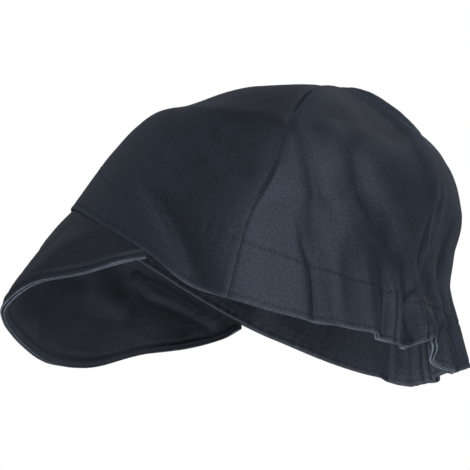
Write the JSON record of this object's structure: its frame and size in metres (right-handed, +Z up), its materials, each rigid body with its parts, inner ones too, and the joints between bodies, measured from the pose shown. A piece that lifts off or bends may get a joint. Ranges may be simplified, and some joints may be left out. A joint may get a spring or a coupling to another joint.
{
  "type": "welding cap",
  "caption": "Soft cotton cap with a panelled crown, a short drooping two-ply peak, a turned-in sweatband and a gathered elastic casing at the nape.",
  "frame": {"origin": "middle of the head opening, where the cap sits on a head", "axes": "+Z up as worn, -Y towards the brow and the peak, +X towards the wearer's left"},
  "size_m": [0.173, 0.2185, 0.1459],
  "materials": {
    "crown": "dark navy cotton twill, matt",
    "band": "dark navy cotton twill, matt, slightly smoother",
    "peak": "dark charcoal navy cotton twill, matt"
  },
  "bodies": {
    "root": {"crown_front_left": "crown", "crown_rear_left": "crown", "crown_rear_right": "crown", "crown_front_right": "crown", "sweatband": "band", "elastic_casing": "band", "peak_upper_ply": "peak", "peak_lower_ply": "peak"}
  },
  "joints": []
}
